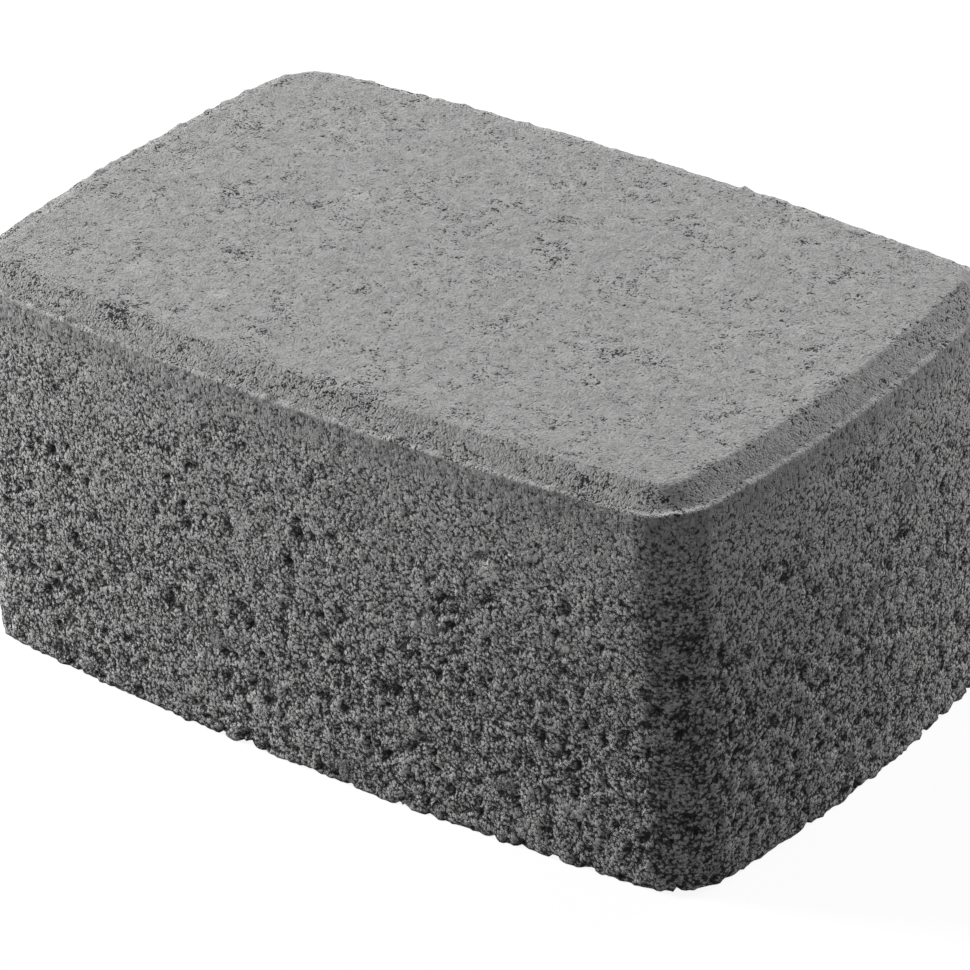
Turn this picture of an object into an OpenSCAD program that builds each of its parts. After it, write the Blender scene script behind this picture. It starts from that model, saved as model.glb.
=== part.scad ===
// Concrete paving stone: a block with four gently bowed sides, rounded
// corners, a narrow level lip and a chamfer around the wearing face.
// The bed face lies on z = 0, the length runs along X and the width along Y.

/* [Overall size] */
// Length over the middle of the short sides
length = 175; // [150:1:240]
// Width over the middle of the long sides
width = 112; // [90:1:140]
// Thickness from the bed face to the wearing face
height = 80; // [50:1:120]

/* [Plan shape] */
// How far the middle of a long side stands out past its ends
bow_long = 5; // [2:0.5:8]
// How far the middle of a short side stands out past its ends
bow_short = 5; // [2:0.5:8]
// Radius of the four upright corners
corner_radius = 11.5; // [9:0.5:16]

/* [Edge of the wearing face] */
// Width of the level lip left around the chamfer
lip_width = 1.5; // [0.5:0.1:2.5]
// Width of the chamfer in plan
chamfer_width = 5; // [2:0.1:6]
// Depth of the lip below the wearing face
chamfer_height = 2.8; // [1.5:0.1:6]

/* [Hidden] */
concrete = [0.56, 0.56, 0.55];

half_l = length / 2;
half_w = width / 2;

// Radii of the bowed sides, from chord and rise
side_r = (half_l * half_l + bow_long * bow_long) / (2 * bow_long);
end_r = (half_w * half_w + bow_short * bow_short) / (2 * bow_short);

// Centres of the side arc at +Y and the end arc at +X
side_cy = half_w - side_r;
end_cx = half_l - end_r;

// Centre of the corner arc that touches both, in the +X +Y quarter:
// it lies side_r - corner_radius from one centre and
// end_r - corner_radius from the other
ra = side_r - corner_radius;
rb = end_r - corner_radius;
gap = sqrt(end_cx * end_cx + side_cy * side_cy);
along = (ra * ra - rb * rb + gap * gap) / (2 * gap);
across = sqrt(ra * ra - along * along);
corner_x = end_cx * along / gap - side_cy * across / gap;
corner_y = side_cy - side_cy * along / gap - end_cx * across / gap;

// Directions from each arc centre through the corner centre
side_dir = atan2(corner_y - side_cy, corner_x);
end_dir = atan2(corner_y, corner_x - end_cx);

// Facets along a long side, an end and a corner
side_n = 24;
end_n = 16;
corner_n = 12;

// The plan outline as arcs: centre, radius, first and last direction, facets
arcs = [
    [[end_cx, 0], end_r, -end_dir, end_dir, end_n],
    [[corner_x, corner_y], corner_radius, end_dir, side_dir, corner_n],
    [[0, side_cy], side_r, side_dir, 180 - side_dir, side_n],
    [[-corner_x, corner_y], corner_radius, 180 - side_dir, 180 - end_dir, corner_n],
    [[-end_cx, 0], end_r, 180 - end_dir, 180 + end_dir, end_n],
    [[-corner_x, -corner_y], corner_radius, 180 + end_dir, 180 + side_dir, corner_n],
    [[0, -side_cy], side_r, 180 + side_dir, 360 - side_dir, side_n],
    [[corner_x, -corner_y], corner_radius, 360 - side_dir, 360 - end_dir, corner_n]
];

// The outline moved in by d, at height z
function ring(d, z) = [
    for (a = arcs)
        for (i = [0:a[4] - 1])
            let (t = a[2] + (a[3] - a[2]) * i / a[4])
                [a[0][0] + (a[1] - d) * cos(t), a[0][1] + (a[1] - d) * sin(t), z]
];

// The chamfer is straight in its middle, and eases out of the lip and into
// the wearing face over this share of its width
ease = 0.2;
function rise(t) = (
    t < ease ? t * t / (2 * ease) :
    t > 1 - ease ? 1 - ease - (1 - t) * (1 - t) / (2 * ease) :
    t - ease / 2) / (1 - ease);

// Edge section, as distance in from the side face and height:
// side face, level lip, then the chamfer up to the wearing face
chamfer_at = [0, 0.07, 0.14, 0.2, 0.8, 0.86, 0.93, 1];
section = concat(
    [[0, 0], [0, height - chamfer_height]],
    [for (t = chamfer_at)
        [lip_width + chamfer_width * t,
         height - chamfer_height + chamfer_height * rise(t)]]);

points = [for (s = section) each ring(s[0], s[1])];
count = len(ring(0, 0));
rings = len(section);

module paving_stone() {
    color(concrete)
        polyhedron(
            points = points,
            faces = concat(
                [[for (i = [0:count - 1]) i]],
                [for (k = [0:rings - 2])
                    for (i = [0:count - 1])
                        let (j = (i + 1) % count)
                            [k * count + i, (k + 1) * count + i,
                             (k + 1) * count + j, k * count + j]],
                [[for (i = [count - 1:-1:0]) (rings - 1) * count + i]]),
            convexity = 2);
}

paving_stone();
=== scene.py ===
"""Looks of the concrete paving stone: one block of cast concrete with a fine-grained
wearing face, a chamfer above a narrow lip, and open-grained sides."""

import math

import bpy
import mathutils
import numpy as np
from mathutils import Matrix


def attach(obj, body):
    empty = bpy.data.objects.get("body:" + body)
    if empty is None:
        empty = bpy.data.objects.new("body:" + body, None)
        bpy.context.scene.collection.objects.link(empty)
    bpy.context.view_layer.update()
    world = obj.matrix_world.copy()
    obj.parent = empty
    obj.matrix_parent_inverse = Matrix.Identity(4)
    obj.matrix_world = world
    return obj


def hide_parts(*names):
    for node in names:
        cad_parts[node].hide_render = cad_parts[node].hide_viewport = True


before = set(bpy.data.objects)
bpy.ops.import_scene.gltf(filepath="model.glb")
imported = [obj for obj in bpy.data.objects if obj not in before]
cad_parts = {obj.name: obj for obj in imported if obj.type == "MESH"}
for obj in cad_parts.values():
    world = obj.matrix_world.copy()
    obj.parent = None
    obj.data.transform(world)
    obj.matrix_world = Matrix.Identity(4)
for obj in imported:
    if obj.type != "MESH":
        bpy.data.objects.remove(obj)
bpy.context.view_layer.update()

# ---------------------------------------------------------------- sizes, in mm
LENGTH, WIDTH, HEIGHT = 175.0, 112.0, 80.0
BOW_L, BOW_S, CORNER_R = 5.0, 5.0, 11.5
LIP, COVE_W, COVE_H, EASE = 1.5, 5.0, 2.8, 0.2
LIP_Z = HEIGHT - COVE_H

HL, HW = LENGTH / 2, WIDTH / 2
SIDE_R = (HL * HL + BOW_L * BOW_L) / (2 * BOW_L)
END_R = (HW * HW + BOW_S * BOW_S) / (2 * BOW_S)
SIDE_CY, END_CX = HW - SIDE_R, HL - END_R


def corner_centre():
    ra, rb = SIDE_R - CORNER_R, END_R - CORNER_R
    gap = math.hypot(END_CX, SIDE_CY)
    along = (ra * ra - rb * rb + gap * gap) / (2 * gap)
    across = math.sqrt(ra * ra - along * along)
    return (
        END_CX * along / gap - SIDE_CY * across / gap,
        SIDE_CY - SIDE_CY * along / gap - END_CX * across / gap,
    )


CX, CY = corner_centre()
SIDE_A = math.atan2(CY - SIDE_CY, CX)
END_A = math.atan2(CY, CX - END_CX)
PI = math.pi
# The plan outline as arcs: centre, radius, first and last direction
ARCS = [
    ((END_CX, 0), END_R, -END_A, END_A),
    ((CX, CY), CORNER_R, END_A, SIDE_A),
    ((0, SIDE_CY), SIDE_R, SIDE_A, PI - SIDE_A),
    ((-CX, CY), CORNER_R, PI - SIDE_A, PI - END_A),
    ((-END_CX, 0), END_R, PI - END_A, PI + END_A),
    ((-CX, -CY), CORNER_R, PI + END_A, PI + SIDE_A),
    ((0, -SIDE_CY), SIDE_R, PI + SIDE_A, 2 * PI - SIDE_A),
    ((CX, -CY), CORNER_R, 2 * PI - SIDE_A, 2 * PI - END_A),
]


def outline(step, inset=0.0):
    """Points about step apart along the outline at this inset: centre x, y, radius, direction and how round the place is."""
    runs = [(r - inset) * (b - a) for _, r, a, b in ARCS]
    total = sum(runs)
    n = max(8, int(round(total / step)))
    out = np.zeros((n, 5))
    for i in range(n):
        s = (i + 0.5) * total / n
        for (c, r, a, b), run in zip(ARCS, runs):
            if s <= run:
                out[i] = (c[0], c[1], r, a + (b - a) * s / run, 1.0 if r == CORNER_R else 0.0)
                break
            s -= run
    return out


def rise(t):
    """Height of the chamfer, straight in its middle and eased at both ends."""
    if t < EASE:
        return t * t / (2 * EASE) / (1 - EASE)
    if t > 1 - EASE:
        return (1 - EASE - (1 - t) ** 2 / (2 * EASE)) / (1 - EASE)
    return (t - EASE / 2) / (1 - EASE)


# ------------------------------------------------------------- the base mesh
def section():
    """Rows of the block's edge from the bed up to the wearing face: inset, height, and outward and upward parts of the
    normal.
    """
    rows = []
    wall_top = LIP_Z - 0.5
    n = 98
    for i in range(n + 1):
        rows.append((0.0, wall_top * i / n, 1.0, 0.0))
    for a in (30, 60):
        rows.append((0.5 - 0.5 * math.cos(math.radians(a)), wall_top + 0.5 * math.sin(math.radians(a)), math.cos(math.radians(a)), math.sin(math.radians(a))))
    rows.append((0.5, LIP_Z, 0.15, 1.0))
    rows.append((1.0, LIP_Z, 0.0, 1.0))
    k = 13
    for i in range(k + 1):
        t = i / k
        u = LIP + COVE_W * t
        z = LIP_Z + COVE_H * rise(t)
        t0, t1 = max(0.0, t - 0.02), min(1.0, t + 0.02)
        slope = COVE_H * (rise(t1) - rise(t0)) / (COVE_W * (t1 - t0))
        m = math.hypot(1, slope)
        rows.append((u, z, slope / m, 1 / m))
    for u in (7.1, 7.9):
        rows.append((u, HEIGHT, 0.0, 1.0))
    return np.array(rows)


def fill(loop, step, seed, inner):
    """Points spread about step apart inside a closed loop, and the triangles that join them to it."""
    rng = np.random.default_rng(seed)
    lo, hi = loop.min(0), loop.max(0)
    ny = int((hi[1] - lo[1]) / (step * 0.866)) + 1
    pts = []
    for j in range(ny + 1):
        y = lo[1] + j * (hi[1] - lo[1]) / ny
        xs = np.arange(lo[0] + (j % 2) * step / 2, hi[0], step)
        pts.append(np.stack([xs, np.full_like(xs, y)], 1))
    pts = np.concatenate(pts)
    pts += rng.uniform(-0.18, 0.18, pts.shape) * step
    pts = pts[inside(pts, inner)]
    co = [mathutils.Vector((float(x), float(y))) for x, y in np.concatenate([loop, pts])]
    n = len(loop)
    edges = [(i, (i + 1) % n) for i in range(n)]
    out, _, faces, _, _, _ = mathutils.geometry.delaunay_2d_cdt(co, edges, [], 1, 1e-6)
    assert len(out) == len(co)
    return np.array([(v.x, v.y) for v in out]), [tuple(f) for f in faces]


def inside(p, inset):
    """Whether points lie inside the outline moved in by inset."""
    x, y = np.abs(p[:, 0]), np.abs(p[:, 1])
    ok = np.hypot(x, y - SIDE_CY) < SIDE_R - inset
    ok &= np.hypot(x - END_CX, y) < END_R - inset
    a = np.arctan2(y - CY, x - CX)
    corner = (x > CX) & (y > CY) | ((a > END_A) & (a < SIDE_A))
    ok &= ~corner | (np.hypot(x - CX, y - CY) < CORNER_R - inset)
    return ok


def build():
    cols = outline(0.75)
    rows = section()
    nc, nr = len(cols), len(rows)
    u, z, no, nz = (rows[:, k][:, None] for k in range(4))
    rad = cols[:, 2][None, :] - u
    cs, sn = np.cos(cols[:, 3])[None, :], np.sin(cols[:, 3])[None, :]
    co = np.stack([cols[:, 0][None, :] + rad * cs, cols[:, 1][None, :] + rad * sn, z + 0 * rad], 2)
    m = np.sqrt(no * no + nz * nz)
    nrm = np.stack([no / m * cs, no / m * sn, nz / m + 0 * cs], 2)
    co, nrm = co.reshape(-1, 3), nrm.reshape(-1, 3)
    inset = (u + 0 * rad).reshape(-1)
    soft = cols[:, 4]
    for _ in range(12):
        soft = (soft + np.roll(soft, 1) + np.roll(soft, -1)) / 3
    turn = (soft[None, :] + 0 * rad).reshape(-1)
    quads = []
    for k in range(nr - 1):
        a = k * nc + np.arange(nc)
        b = k * nc + (np.arange(nc) + 1) % nc
        quads.append(np.stack([a, b, b + nc, a + nc], 1))
    quads = np.concatenate(quads)
    top = co[(nr - 1) * nc : nr * nc]
    bed = co[:nc]
    tp, tf = fill(top[:, :2], 1.38, 11, 7.9 + 1.0)
    # The bed's points lie on a wide grid kept 2.2 mm in from the edge, joined to the wall's close columns by triangles
    bp, bf = fill(bed[:, :2], 3.2, 12, 2.2)
    n0 = len(co)
    t_new, b_new = tp[nc:], bp[nc:]
    t_map = np.concatenate([(nr - 1) * nc + np.arange(nc), n0 + np.arange(len(t_new))])
    b_map = np.concatenate([np.arange(nc), n0 + len(t_new) + np.arange(len(b_new))])
    co = np.concatenate([co, np.c_[t_new, np.full(len(t_new), HEIGHT)], np.c_[b_new, np.zeros(len(b_new))]])
    nrm = np.concatenate([nrm, np.tile([0, 0, 1.0], (len(t_new), 1)), np.tile([0, 0, -1.0], (len(b_new), 1))])
    inset = np.concatenate([inset, np.full(len(t_new), 20.0), np.full(len(b_new), 20.0)])
    turn = np.concatenate([turn, np.zeros(len(t_new) + len(b_new))])
    faces = [tuple(q) for q in quads.tolist()]
    faces += [tuple(int(t_map[i]) for i in f) for f in tf]
    faces += [tuple(int(b_map[i]) for i in reversed(f)) for f in bf]
    bed_mask = np.zeros(len(co))
    bed_mask[n0 + len(t_new) :] = 1
    bed_mask[:nc] = 0.5
    return co, nrm, inset, turn, bed_mask, faces, nc, nr


co, nrm, inset, turn, bed_mask, faces, NC, NR = build()

# Where each point is: 0 on a side, 1 on the wearing face, lip and chamfer
wear = np.clip((co[:, 2] - LIP_Z + 0.9) / 0.9, 0, 1)
wear = wear * wear * (3 - 2 * wear)
# 1 on the lip and cove
edge = ((co[:, 2] > LIP_Z - 1.5) & (inset < 9)).astype(float)
edge *= np.clip((co[:, 2] - LIP_Z + 1.5) / 1.5, 0, 1) * np.clip((9.5 - inset) / 3.5, 0, 1)


# Larger stones at the surface and clusters of open pores: centre x, y, z and radius, in mm
SPOTS = {
    "light_at": [
        (53.5, -54.1, 62.2, 1.5), (44.0, -54.7, 56.5, 2.9), (-16.0, -55.8, 24.2, 1.2), (-10.5, -55.9, 10.5, 2.5),
        (-17.2, -55.8, 29.2, 1.3), (81.9, -48.5, 49.2, 1.0), (87.5, 1.8, 4.8, 1.6), (-51.2, -34.6, 80.0, 2.6),
        (-32.3, -34.4, 80.0, 1.8), (-35.5, 9.2, 80.0, 3.0), (64.2, 12.0, 80.0, 2.0), (-60.0, 54.0, 30.0, 2.4),
        (20.0, 55.8, 48.0, 1.8), (-86.6, 20.0, 22.0, 2.2),
    ],
    "dark_at": [
        (-19.8, -55.7, 21.2, 1.7), (8.0, -56.0, 3.2, 2.3), (45.5, -54.7, 12.8, 1.8), (-30.0, 55.5, 16.0, 2.2),
        (-87.2, -12.0, 40.0, 1.8), (87.4, 20.0, 36.0, 1.6),
    ],
    "open_at": [
        (39.5, -55.0, 55.5, 1.1), (-14.0, -55.9, 9.0, 1.4), (16.8, -55.8, 26.2, 2.4), (21.5, -55.7, 24.5, 3.0),
        (27.8, -55.5, 23.5, 2.6), (-1.8, -56.0, 43.8, 2.2), (82.8, -47.4, 50.5, 2.4), (60.2, -53.6, 41.8, 2.4),
        (59.2, -53.7, 20.2, 2.2), (64.8, -53.3, 18.8, 1.6), (87.0, -17.8, 47.5, 1.6), (87.4, -9.5, 32.5, 1.4),
        (86.4, -26.8, 39.2, 1.6), (-59.2, -53.7, 63.8, 2.4), (-57.5, -53.8, 44.2, 2.4), (-45.0, 55.2, 34.0, 3.0),
        (38.0, 55.2, 22.0, 3.4), (-86.8, 24.0, 52.0, 2.6), (10.0, 56.0, 12.0, 2.6),
        (-43.8, -49.0, 79.5, 3.0), (-43.8, -44.2, 80.0, 2.6), (-35.2, -43.8, 80.0, 1.8), (15.8, -50.0, 79.5, 2.8),
        (1.8, -50.0, 79.5, 2.6), (42.0, -13.2, 80.0, 2.4), (-8.8, 8.2, 80.0, 1.8), (-38.2, 3.0, 80.0, 2.0),
        (33.2, -44.5, 80.0, 1.8), (56.8, -2.0, 80.0, 1.6), (-60.2, -53.6, 48.2, 1.8), (-28.5, -55.5, 52.2, 1.6),
        (39.2, -55.0, 32.8, 1.8),
    ],
}


def put(mesh, name, values, kind="FLOAT"):
    a = mesh.attributes.new(name, kind, "POINT")
    key = "vector" if kind == "FLOAT_VECTOR" else "value"
    a.data.foreach_set(key, np.ascontiguousarray(values, np.float32).ravel())


def get(mesh, name, wide=1):
    a = mesh.attributes[name]
    out = np.empty(len(mesh.vertices) * wide, np.float32)
    a.data.foreach_get("vector" if wide == 3 else "value", out)
    return out.reshape(-1, 3) if wide == 3 else out


# ------------------------------------------------- patterns, for mesh and shader
class Nodes:
    """Adds the same pattern nodes to a geometry tree or a shader tree."""

    def __init__(self, tree):
        self.t = tree
        self.geo = tree.bl_idname == "GeometryNodeTree"

    def new(self, kind, **props):
        n = self.t.nodes.new(kind)
        for k, v in props.items():
            setattr(n, k, v)
        return n

    def plug(self, value, socket):
        if hasattr(value, "is_output"):
            self.t.links.new(value, socket)
        else:
            socket.default_value = value

    def attr(self, name, vector=False):
        if self.geo:
            n = self.new("GeometryNodeInputNamedAttribute", data_type="FLOAT_VECTOR" if vector else "FLOAT")
            n.inputs["Name"].default_value = name
            return n.outputs["Attribute"]
        n = self.new("ShaderNodeAttribute", attribute_name=name)
        return n.outputs["Vector" if vector else "Fac"]

    def math(self, op, a, b=0.0, c=None, clamp=False):
        n = self.new("ShaderNodeMath", operation=op, use_clamp=clamp)
        self.plug(a, n.inputs[0])
        self.plug(b, n.inputs[1])
        if c is not None:
            self.plug(c, n.inputs[2])
        return n.outputs[0]

    def add(self, a, b):
        return self.math("ADD", a, b)

    def sub(self, a, b):
        return self.math("SUBTRACT", a, b)

    def mul(self, a, b):
        return self.math("MULTIPLY", a, b)

    def mad(self, a, b, c):
        return self.math("MULTIPLY_ADD", a, b, c)

    def step(self, x, lo, hi, a=0.0, b=1.0):
        """a below lo, b above hi and a smooth change between."""
        n = self.new("ShaderNodeMapRange", interpolation_type="SMOOTHSTEP")
        n.clamp = True
        self.plug(x, n.inputs[0])
        for k, v in enumerate((lo, hi, a, b)):
            self.plug(v, n.inputs[k + 1])
        return n.outputs[0]

    def vec(self, op, a, b):
        n = self.new("ShaderNodeVectorMath", operation=op)
        self.plug(a, n.inputs[0])
        self.plug(b, n.inputs[1])
        return n.outputs[0]

    def dot(self, a, b):
        n = self.new("ShaderNodeVectorMath", operation="DOT_PRODUCT")
        self.plug(a, n.inputs[0])
        self.plug(b, n.inputs[1])
        return n.outputs["Value"]

    def noise(self, v, scale, detail=0.0, rough=0.5, lac=2.0, bend=0.0):
        n = self.new("ShaderNodeTexNoise", noise_dimensions="3D", noise_type="FBM", normalize=True)
        self.plug(v, n.inputs["Vector"])
        for k, x in (("Scale", scale), ("Detail", detail), ("Roughness", rough), ("Lacunarity", lac), ("Distortion", bend)):
            self.plug(x, n.inputs[k])
        return n.outputs[0]

    def held(self, name, make):
        """A broad pattern that the mesh can hold: made in the geometry tree and read back by the shader."""
        if not self.geo:
            return self.attr("h_" + name)
        HELD[name] = make()
        return HELD[name]

    def warp(self, v, scale, amount):
        """v moved about by a soft noise, so that what is drawn over it loses its regular shapes."""
        n = self.new("ShaderNodeTexNoise", noise_dimensions="3D", noise_type="FBM", normalize=True)
        self.plug(v, n.inputs["Vector"])
        n.inputs["Scale"].default_value = scale
        n.inputs["Detail"].default_value = 1.0
        off = self.vec("SUBTRACT", n.outputs["Color"], (0.5, 0.5, 0.5))
        return self.vec("ADD", v, self.vec("MULTIPLY", off, (amount, amount, amount)))

    def cells(self, v, scale, feature="F1"):
        n = self.new("ShaderNodeTexVoronoi", voronoi_dimensions="3D", feature=feature)
        self.plug(v, n.inputs["Vector"])
        n.inputs["Scale"].default_value = scale
        return n

    def x_of(self, v, k=0):
        n = self.new("ShaderNodeSeparateXYZ")
        self.plug(v, n.inputs[0])
        return n.outputs[k]


HELD = {}


def broad(g, P):
    drift = g.held("drift", lambda: g.noise(P, 0.05, 2.0, 0.55))
    patch = g.held("patch", lambda: g.noise(g.vec("ADD", P, (31.0, 7.0, 3.0)), 0.11, 2.0, 0.6))
    return drift, patch


def side_pattern(g):
    """The sides' relief in millimetres, and what its tone is made from. Granules stick together, with crevices and pores between them."""
    P = g.attr("rest", True)
    edge, low, turn = (g.attr(k) for k in ("edge", "low", "turn"))
    drift, patch = broad(g, P)
    S = g.warp(P, 1.3, 0.45)
    # How open the grain is: tight in the facing band, open lower down and in clusters
    spot = g.attr("open_at")
    cluster = g.math("MAXIMUM", g.mul(g.step(patch, 0.55, 0.70), g.step(low, 0.0, 0.3)), g.step(spot, 0.15, 0.8))
    open_ = g.math("ADD", g.add(low, g.mul(cluster, 0.35)), g.mul(g.sub(patch, 0.5), 1.1), clamp=True)
    band = g.step(low, 0.0, 0.15, 1.0, 0.0)
    cell = g.cells(S, 1.5)
    granule = cell.outputs["Distance"]
    # Each granule also has a tone and a slant of its own
    own = g.vec("SUBTRACT", cell.outputs["Color"], (0.5, 0.5, 0.5))
    slant = g.dot(own, g.vec("SUBTRACT", S, cell.outputs["Position"]))
    speck = g.noise(g.vec("ADD", S, (2.0, 2.0, 2.0)), 3.3, 1.0, 0.7)
    mix = g.noise(g.vec("ADD", S, (7.0, 3.0, 5.0)), 1.15, 2.0, 0.6)
    lump = g.noise(g.vec("ADD", S, (13.0, 5.0, 9.0)), 0.48, 1.0, 0.5)
    # In the facing band the grains are finer and drawn out along the pressing direction
    streak = g.noise(g.vec("ADD", g.vec("MULTIPLY", P, (1.9, 1.9, 0.6)), (3.0, 9.0, 1.0)), 1.0, 1.0, 0.6)
    field = g.math("MULTIPLY_ADD", g.mul(granule, granule), g.mad(band, 0.3, g.mad(open_, -0.30, -0.92)), 0.41)
    field = g.mad(g.sub(mix, 0.5), g.mad(band, -0.5, 1.7), field)
    field = g.mad(g.sub(lump, 0.5), g.mad(open_, 0.7, 0.2), field)
    field = g.mad(g.sub(speck, 0.5), g.mad(open_, -0.1, 0.95), field)
    field = g.math("MULTIPLY_ADD", g.sub(streak, 0.5), g.mad(band, 0.9, 0.1), field)
    cut = g.mad(cluster, 0.12, g.mad(open_, 0.06, -0.07))
    # The crevices where the relief is lowest, which the shader darkens as painted shade
    pore_shade = g.step(field, g.sub(cut, 0.12), g.add(cut, 0.03), 1.0, 0.0)
    depth = g.math("SMOOTH_MIN", g.sub(field, cut), 0.26, 0.25)

    # Larger pores and places where the mortar is missing
    grown = g.mul(cluster, 0.10)
    pit = g.step(lump, g.add(grown, g.mad(open_, 0.06, 0.23)), g.add(grown, g.mad(open_, 0.08, 0.29)), 1.0, 0.0)
    hole_at = g.mad(cluster, 0.05, g.mad(open_, 0.05, 0.22))
    hole = g.held(
        "hole",
        lambda: g.step(
            g.noise(g.vec("ADD", S, (53.0, 21.0, 77.0)), 0.15, 2.0, 0.6, 2.3, 0.5), g.sub(hole_at, 0.03), g.add(hole_at, 0.04), 1.0, 0.0
        ),
    )
    # Flat tears across the rounded corners
    tear_n = g.noise(g.vec("ADD", g.vec("MULTIPLY", P, (0.36, 0.36, 1.4)), (40.0, 3.0, 8.0)), 1.0, 2.0, 0.6)
    tear = g.mul(g.step(tear_n, 0.34, 0.41, 1.0, 0.0), g.mul(turn, g.step(low, 0.0, 0.4)))

    # Larger stones of the aggregate that lie at the surface
    ag = g.cells(g.vec("ADD", g.warp(P, 0.5, 2.6), (5.0, 2.0, 8.0)), 0.14)
    ag_r = g.mad(g.sub(mix, 0.5), 0.10, ag.outputs["Distance"])
    ag_pick, ag_tone = (g.x_of(ag.outputs["Color"], k) for k in (0, 1))
    ag_on = g.mul(g.step(ag_pick, 0.86, 0.87), g.step(low, 0.1, 0.45))
    ag_big = g.mad(g.x_of(ag.outputs["Color"], 2), 0.15, 0.12)
    stone = g.mul(g.step(ag_r, ag_big, g.add(ag_big, 0.06), 1.0, 0.0), ag_on)
    rim = g.mul(g.mul(g.step(ag_r, ag_big, g.add(ag_big, 0.05)), g.step(ag_r, g.add(ag_big, 0.06), g.add(ag_big, 0.13), 1.0, 0.0)), ag_on)
    ag_tone = g.step(ag_tone, 0.25, 0.55, 0.62, 1.25)
    # A few that lie at known places
    ragged = g.add(g.mul(g.sub(mix, 0.5), 1.5), g.mul(g.sub(lump, 0.5), 1.0))
    for name, shade in (("light_at", 1.25), ("dark_at", 0.66)):
        at = g.add(g.attr(name), g.mul(ragged, g.step(g.attr(name), 0.05, 0.3)))
        here = g.step(at, 0.44, 0.54)
        rim = g.math("MAXIMUM", g.mul(rim, g.sub(1.0, here)), g.mul(g.step(at, 0.22, 0.34), g.sub(1.0, here)))
        ag_tone = g.add(g.mul(ag_tone, g.sub(1.0, here)), g.mul(here, shade))
        stone = g.math("MAXIMUM", stone, here)
    bare = g.sub(1.0, stone)

    coarse = g.mul(g.mul(g.sub(lump, 0.5), g.mad(open_, 0.62, 0.3)), bare)
    coarse = g.sub(coarse, g.mul(g.mul(pit, bare), g.mad(open_, 0.28, 0.10)))
    coarse = g.sub(coarse, g.mul(g.mul(hole, bare), g.mad(open_, 0.36, 0.12)))
    coarse = g.add(coarse, g.mul(stone, 0.1))
    coarse = g.sub(coarse, g.mul(rim, 0.25))
    coarse = g.mad(g.sub(drift, 0.5), 0.5, coarse)
    fine = g.mul(g.math("MULTIPLY_ADD", slant, g.mad(open_, 0.14, 0.20), g.mul(depth, g.mad(open_, 0.14, 0.92))), g.mad(stone, -0.2, 1.0))
    fine = g.sub(fine, g.mul(tear, 0.15))
    return dict(
        coarse=coarse, fine=fine, open=open_, pit=pit, hole=hole, stone=stone, rim=rim, ag_tone=ag_tone, pore_shade=pore_shade,
        speck=speck, mix=mix, drift=drift, patch=patch, bare=bare, field=field, tear=tear, turn=turn, own=g.x_of(own),
        band=band, cluster=cluster,
    )


def face_pattern(g):
    """The same for the wearing face and chamfer: tight mortar with small pits, short cracks and a few open patches."""
    P = g.attr("rest", True)
    edge = g.attr("edge")
    drift, patch = broad(g, P)
    T = g.warp(P, 1.2, 0.6)
    cell = g.cells(T, 1.9)
    granule = cell.outputs["Distance"]
    own = g.vec("SUBTRACT", cell.outputs["Color"], (0.5, 0.5, 0.5))
    slant = g.dot(own, g.vec("SUBTRACT", T, cell.outputs["Position"]))
    speck = g.noise(g.vec("ADD", T, (5.0, 1.0, 2.0)), 3.0, 1.0, 0.75)
    mix = g.noise(g.vec("ADD", T, (9.0, 1.0, 1.0)), 1.05, 2.0, 0.6)
    mid = g.noise(g.vec("ADD", T, (17.0, 23.0, 4.0)), 0.42, 2.0, 0.6)
    field = g.mad(g.mul(granule, granule), -0.7, 0.26)
    field = g.mad(g.sub(mix, 0.5), 1.35, field)
    field = g.mad(g.sub(mid, 0.5), g.mad(edge, -0.5, 1.4), field)
    field = g.mad(g.sub(speck, 0.5), 1.9, field)
    cut = g.mad(g.sub(patch, 0.5), 1.4, g.mad(edge, 0.12, -0.44))
    cut = g.mad(g.step(g.attr("open_at"), 0.1, 0.9), 0.24, cut)
    pit = g.step(field, g.sub(cut, 0.06), g.add(cut, 0.03), 1.0, 0.0)
    # The low places of the relief, which the shader darkens as painted shade
    crease_shade = g.step(field, -0.32, 0.16, 1.0, 0.0)
    coarse = g.mul(g.sub(drift, 0.5), 0.3)
    coarse = g.mad(g.sub(mid, 0.5), g.mad(edge, -0.10, 0.36), coarse)
    coarse = g.sub(coarse, g.mul(g.attr("open_at"), 0.15))
    fine = g.mul(g.math("SMOOTH_MIN", field, 0.30, 0.3), g.mad(edge, 0.07, 0.25))
    fine = g.math("MULTIPLY_ADD", slant, 0.05, fine)
    fine = g.mad(g.sub(speck, 0.5), 0.05, fine)
    fine = g.sub(fine, g.mul(pit, 0.14))
    return dict(
        coarse=coarse, fine=fine, pit=pit, crease_shade=crease_shade, speck=speck, mid=mid, drift=drift, patch=patch, edge=edge, own=g.x_of(own),
    )


# ------------------------------------------------------------ mesh with relief
mesh = bpy.data.meshes.new("paving_stone_cast")
mesh.from_pydata((co * 0.001).tolist(), [], faces)
mesh.update()
put(mesh, "rest", co, "FLOAT_VECTOR")
put(mesh, "wear", wear)
put(mesh, "edge", edge)
# The facing band reaches some 12 mm down the sides, and the grain opens below it
low = np.clip((LIP_Z - 3 - co[:, 2]) / 44.0, 0, 1)
low = np.where(bed_mask > 0.9, 0.8, low)
put(mesh, "low", low)
put(mesh, "turn", turn)
# A thin burr runs along the lip; the shader also makes the lip paler there as a painted highlight
lip = np.clip(1.3 - np.abs(inset - 0.7) / 0.8, 0, 1) * (co[:, 2] > LIP_Z - 0.45) * (1 - 0.5 * turn)
put(mesh, "lip", lip)
for name, places in SPOTS.items():
    mask = np.zeros(len(co))
    for x, y, z, size in places:
        reach = np.sqrt(((co - (x, y, z)) ** 2).sum(1)) / size
        mask = np.maximum(mask, np.clip(1.25 - 0.75 * reach, 0, 1))
    put(mesh, name, mask)
cast = bpy.data.objects.new("paving_stone_cast", mesh)
bpy.context.scene.collection.objects.link(cast)

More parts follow.
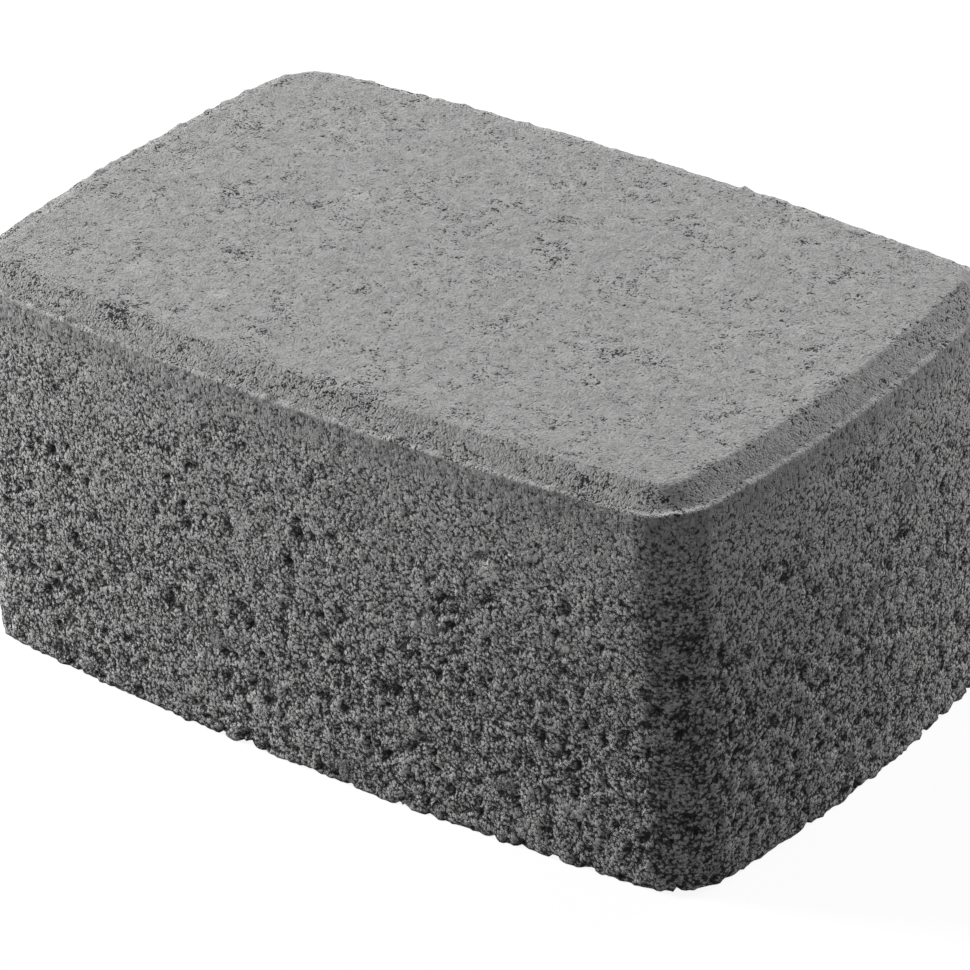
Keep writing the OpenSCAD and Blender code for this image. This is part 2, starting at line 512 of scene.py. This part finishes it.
tree = bpy.data.node_groups.new("relief", "GeometryNodeTree")
tree.interface.new_socket("Geometry", in_out="INPUT", socket_type="NodeSocketGeometry")
tree.interface.new_socket("Geometry", in_out="OUTPUT", socket_type="NodeSocketGeometry")
gi, go = tree.nodes.new("NodeGroupInput"), tree.nodes.new("NodeGroupOutput")
gn = Nodes(tree)
g_side, g_face = side_pattern(gn)["coarse"], face_pattern(gn)["coarse"]
g_wear = gn.attr("wear")
HELD["coarse"] = gn.add(gn.mul(g_side, gn.sub(1.0, g_wear)), gn.mul(g_face, g_wear))
last = gi.outputs[0]
for key, value in HELD.items():
    st = gn.new("GeometryNodeStoreNamedAttribute", data_type="FLOAT", domain="POINT")
    st.inputs["Name"].default_value = "h_" + key
    tree.links.new(last, st.inputs["Geometry"])
    tree.links.new(value, st.inputs["Value"])
    last = st.outputs["Geometry"]
tree.links.new(last, go.inputs[0])
mod = cast.modifiers.new("relief", "NODES")
mod.node_group = tree
deps = bpy.context.evaluated_depsgraph_get()
done = bpy.data.meshes.new_from_object(cast.evaluated_get(deps), preserve_all_data_layers=True, depsgraph=deps)
cast.modifiers.clear()
h = get(done, "h_coarse").astype(float)

# The bed only goes inwards, so nothing reaches below the surface it lies on
h = np.where(bed_mask > 0.9, np.minimum(h * 0.5, 0) - 0.02, h)
h = np.clip(h, -2.2, 0.5) * (1 - 0.6 * lip)
# The burr is uneven along its length
rng = np.random.default_rng(7)
burr = rng.normal(0, 1, NC)
long_burr = sum(w * np.roll(burr[::-1], k) for k, w in enumerate((0.3, 0.6, 0.9, 1.0, 0.9, 0.6, 0.3))) / 1.85
burr = (burr + np.roll(burr, 1) + 0.5 * np.roll(burr, 2)) / 1.5
burr = np.clip(0.08 + 0.15 * burr + 0.10 * long_burr + 0.04 * burr * burr, -0.25, 0.7)
h[: NC * NR] += (np.tile(burr, NR)) * lip[: NC * NR]
new = co + nrm * h[:, None]
# The lower arris is crumbled: the lowest rows lean in and up where the grain is open
arris = np.clip(1 - co[:, 2] / 1.6, 0, 1) * (bed_mask < 0.9)
bite = np.clip(0.3 - 1.3 * h, 0, 1.8) * arris
new[:, 2] += bite * 0.8 * (co[:, 2] < 1.6)
new[:, :2] -= nrm[:, :2] * (bite * 0.5)[:, None]
new[:, 2] = np.maximum(new[:, 2], 0.0)
done.vertices.foreach_set("co", (new * 0.001).astype(np.float32).ravel())

# Broad hollows, from the relief less its mean over the rows and columns around; the shader darkens them as painted
# shade
grid = h[: NC * NR].reshape(NR, NC)
blur = grid.copy()
for _ in range(5):
    blur = (blur + np.roll(blur, 1, 1) + np.roll(blur, -1, 1)) / 3
    pad = np.pad(blur, ((1, 1), (0, 0)), "edge")
    blur = (pad[:-2] + pad[1:-1] + pad[2:]) / 3
hollow = np.zeros(len(co))
hollow[: NC * NR] = (grid - blur).ravel()
put(done, "hollow", hollow)
done.update()
cast.data = done
bpy.data.meshes.remove(mesh)
for p in done.polygons:
    p.use_smooth = True

# ------------------------------------------------------------------- concrete
SIDE_TONE, FACE_TONE = 0.320, 0.322
mat = bpy.data.materials.new("cast_concrete")
mat.use_nodes = True
sh = Nodes(mat.node_tree)
nt = mat.node_tree


def side_tone(g, p):
    """An even grey with darker and lighter grains, partly their own tone and partly painted shade and painted light
    that follow the relief, and nearly black painted shade where the pores go deep.
    """
    s = g.mad(g.sub(p["patch"], 0.5), 0.25, 1.0)
    # On the rounded corners the speck, grain and relief contrasts are stronger: partly a more open grain there, and
    # partly painted light and shade in place of the relief shading the lamps hardly give there
    s = g.mul(s, g.math("MULTIPLY_ADD", g.sub(p["speck"], 0.5), g.mad(p["turn"], 0.3, 0.9), 1.0))
    s = g.mul(s, g.math("MULTIPLY_ADD", p["own"], g.mad(p["turn"], 0.2, 0.26), 1.0))
    # Painted shade on the relief's low places and painted light on its high places
    s = g.mul(s, g.step(p["field"], -0.45, 0.30, g.mad(p["turn"], -0.06, 0.56), g.mad(p["turn"], 0.06, 1.14)))
    s = g.mul(s, g.mad(p["band"], -0.21, 1.0))
    # Painted shade: the crevices between granules, the pits, holes, grooves round the stones and the tears are
    # darkened, the crevices a little less on the rounded corners
    dark = g.mul(p["pore_shade"], g.add(g.mad(p["open"], 0.06, 0.64), g.mul(p["turn"], -0.12)))
    dark = g.math("MAXIMUM", dark, g.mul(p["pit"], 0.66))
    dark = g.math("MAXIMUM", dark, g.mul(p["hole"], 0.26))
    dark = g.mul(dark, p["bare"])
    dark = g.math("MAXIMUM", dark, g.mul(p["rim"], 0.45))
    dark = g.math("MAXIMUM", dark, g.mul(p["tear"], 0.60))
    s = g.mul(s, g.sub(1.0, dark))
    # Painted shade in the broad hollows of the relief
    s = g.mul(s, g.step(g.attr("hollow"), -0.7, 0.1, 0.66, 1.04))
    st = g.mul(g.mul(p["ag_tone"], g.mad(g.sub(p["speck"], 0.5), 1.4, 1.0)), g.mad(g.sub(p["mix"], 0.5), 1.4, 1.0))
    s = g.add(g.mul(s, p["bare"]), g.mul(p["stone"], st))
    return g.mul(s, SIDE_TONE)


def face_tone(g, p):
    """Lighter and more even, with dark specks of painted shade in the pits where the mortar is open, painted shade in
    the creases, and a painted highlight along the lip.
    """
    w = g.mad(g.sub(p["patch"], 0.5), 0.14, 1.0)
    w = g.mul(w, g.mad(g.sub(p["speck"], 0.5), 0.8, 1.0))
    w = g.mul(w, g.mad(p["own"], 0.10, 1.0))
    w = g.mul(w, g.mad(g.sub(p["mid"], 0.5), 0.20, 1.0))
    # Painted shade in the creases and pits of the relief
    w = g.mul(w, g.sub(1.0, g.mul(p["crease_shade"], 0.14)))
    w = g.mul(w, g.sub(1.0, g.mul(p["pit"], 0.90)))
    w = g.mul(w, g.mad(g.step(g.attr("light_at"), 0.2, 0.8), 0.16, 1.0))
    # Painted highlight along the lip
    w = g.mul(w, g.math("MULTIPLY_ADD", g.step(g.attr("lip"), 0.0, 0.7), g.mad(g.attr("turn"), 0.12, 0.22), 1.0))
    return g.mul(w, FACE_TONE)


def surface(p, value):
    """A shader of this tone and fine relief."""
    rgb = sh.new("ShaderNodeCombineColor")
    nt.links.new(value, rgb.inputs[0])
    nt.links.new(value, rgb.inputs[1])
    nt.links.new(sh.mul(value, 0.99), rgb.inputs[2])
    b = sh.new("ShaderNodeBsdfPrincipled")
    nt.links.new(rgb.outputs[0], b.inputs["Base Color"])
    nt.links.new(sh.mad(p["fine"], 0.1, 0.92), b.inputs["Roughness"])
    b.inputs["Specular IOR Level"].default_value = 0.25
    bump = sh.new("ShaderNodeBump")
    bump.inputs["Strength"].default_value = 1.0
    bump.inputs["Distance"].default_value = 1.0
    nt.links.new(sh.mul(p["fine"], 0.001), bump.inputs["Height"])
    nt.links.new(bump.outputs[0], b.inputs["Normal"])
    return b.outputs[0]


nt.nodes.remove(nt.nodes["Principled BSDF"])
p_side, p_face = side_pattern(sh), face_pattern(sh)
both = sh.new("ShaderNodeMixShader")
nt.links.new(sh.attr("wear"), both.inputs[0])
nt.links.new(surface(p_side, side_tone(sh, p_side)), both.inputs[1])
nt.links.new(surface(p_face, face_tone(sh, p_face)), both.inputs[2])
nt.links.new(both.outputs[0], nt.nodes["Material Output"].inputs["Surface"])
done.materials.clear()
done.materials.append(mat)

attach(cast, "root")
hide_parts("paving_stone")

# ---------------------------------------------------------------------- stage
fm = bpy.data.meshes.new("floor")
fm.from_pydata([(-6, -6, 0), (6, -6, 0), (6, 6, 0), (-6, 6, 0)], [], [(0, 1, 2, 3)])
floor = bpy.data.objects.new("floor", fm)
bpy.context.scene.collection.objects.link(floor)
pale = bpy.data.materials.new("pale_floor")
pale.use_nodes = True
pb = pale.node_tree.nodes["Principled BSDF"]
pb.inputs["Base Color"].default_value = (0.12, 0.12, 0.12, 1)
pb.inputs["Emission Color"].default_value = (1, 1, 1, 1)
pb.inputs["Emission Strength"].default_value = 0.90
pb.inputs["Roughness"].default_value = 1.0
pb.inputs["Specular IOR Level"].default_value = 0.0
fm.materials.append(pale)
floor.visible_diffuse = False
floor.visible_glossy = False

scene = bpy.context.scene
scene.view_settings.view_transform = "Standard"
world = bpy.data.worlds.new("studio")
scene.world = world
world.use_nodes = True
wb = world.node_tree.nodes["Background"]
wb.inputs[0].default_value = (1, 1, 1, 1)
wb.inputs[1].default_value = 0.235


def softbox(name, azimuth, elevation, distance, size, watts):
    """A square lamp seen from the stone at this azimuth (0 is towards +X, 90 towards +Y) and elevation."""
    a, e = math.radians(azimuth), math.radians(elevation)
    d = mathutils.Vector((math.cos(a) * math.cos(e), math.sin(a) * math.cos(e), math.sin(e)))
    lamp = bpy.data.lights.new(name, "AREA")
    lamp.shape = "SQUARE"
    lamp.size = size
    lamp.energy = watts
    ob = bpy.data.objects.new(name, lamp)
    bpy.context.scene.collection.objects.link(ob)
    centre = mathutils.Vector((0, 0, 0.04))
    ob.location = centre + d * distance
    ob.rotation_euler = (-d).to_track_quat("-Z", "Y").to_euler()
    ob.visible_camera = False
    return ob


softbox("left_light", -163, 22, 1.6, 0.6, 45)
softbox("back_light", 75, 20, 1.6, 0.6, 30)

# --------------------------------------------------------------------- camera
AZ, EL, ROLL, DIST, FOCAL_PX = 39.483, 30.186, -3.102, 1049.981, 5691.186
TARGET = (7.251, -9.185, 40.0)
a, e, r = (math.radians(v) for v in (AZ, EL, ROLL))
back = np.array([math.sin(a) * math.cos(e), -math.cos(a) * math.cos(e), math.sin(e)])
right = np.array([math.cos(a), math.sin(a), 0.0])
up = np.cross(back, right)
right2 = math.cos(r) * right + math.sin(r) * up
up2 = -math.sin(r) * right + math.cos(r) * up
place = (np.array(TARGET) + back * DIST) * 0.001
cam = bpy.data.cameras.new("camera")
cam.sensor_width = 36.0
cam.sensor_fit = "HORIZONTAL"
cam.lens = FOCAL_PX / 970.0 * 36.0
cam.clip_start, cam.clip_end = 0.05, 50.0
co_ = bpy.data.objects.new("camera", cam)
scene.collection.objects.link(co_)
m = mathutils.Matrix.Identity(4)
for k, axis in enumerate((right2, up2, back)):
    for j in range(3):
        m[j][k] = axis[j]
for j in range(3):
    m[j][3] = place[j]
co_.matrix_world = m
scene.camera = co_
